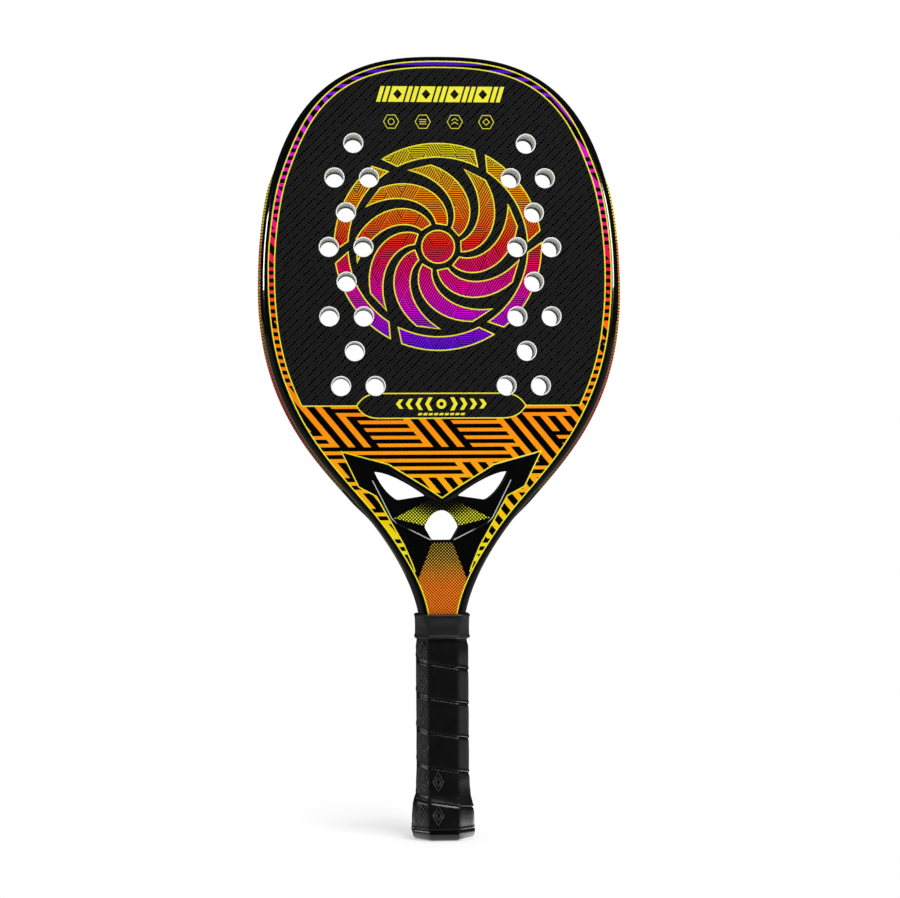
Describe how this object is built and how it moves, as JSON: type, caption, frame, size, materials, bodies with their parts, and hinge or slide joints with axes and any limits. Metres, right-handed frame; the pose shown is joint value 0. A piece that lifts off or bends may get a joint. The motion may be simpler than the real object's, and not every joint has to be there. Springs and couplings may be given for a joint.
{
  "type": "beach tennis racket",
  "caption": "Flat oval bat with a drilled foam-cored carbon head, a sculpted open throat between two frame legs and a short tape-wound octagonal handle with a flared butt.",
  "frame": {"origin": "middle of the butt's flat end, at the lowest point of the racket", "axes": "+Z along the racket from the butt to the top of the head, +Y through the thickness from the front face to the back, +X across the face"},
  "size_m": [0.2326, 0.0336, 0.5],
  "materials": {
    "frame_tube": "gloss lacquered carbon",
    "core_foam": "closed-cell foam",
    "front_skin": "satin carbon weave",
    "back_skin": "satin carbon weave",
    "throat_bridge": "gloss lacquered",
    "handle_filler": "closed-cell foam",
    "butt_cap": "satin moulded",
    "cap_rivet": "plain",
    "grip_tape": "embossed polyurethane",
    "finishing_tape": "smooth",
    "rubber_collar": "satin"
  },
  "bodies": {
    "root": {"frame_tube": "frame_tube", "core_foam": "core_foam", "front_skin": "front_skin", "back_skin": "back_skin", "throat_bridge": "throat_bridge", "handle_filler": "handle_filler", "butt_cap": "butt_cap", "cap_rivet": "cap_rivet", "grip_tape": "grip_tape", "finishing_tape": "finishing_tape", "rubber_collar": "rubber_collar"}
  },
  "joints": []
}
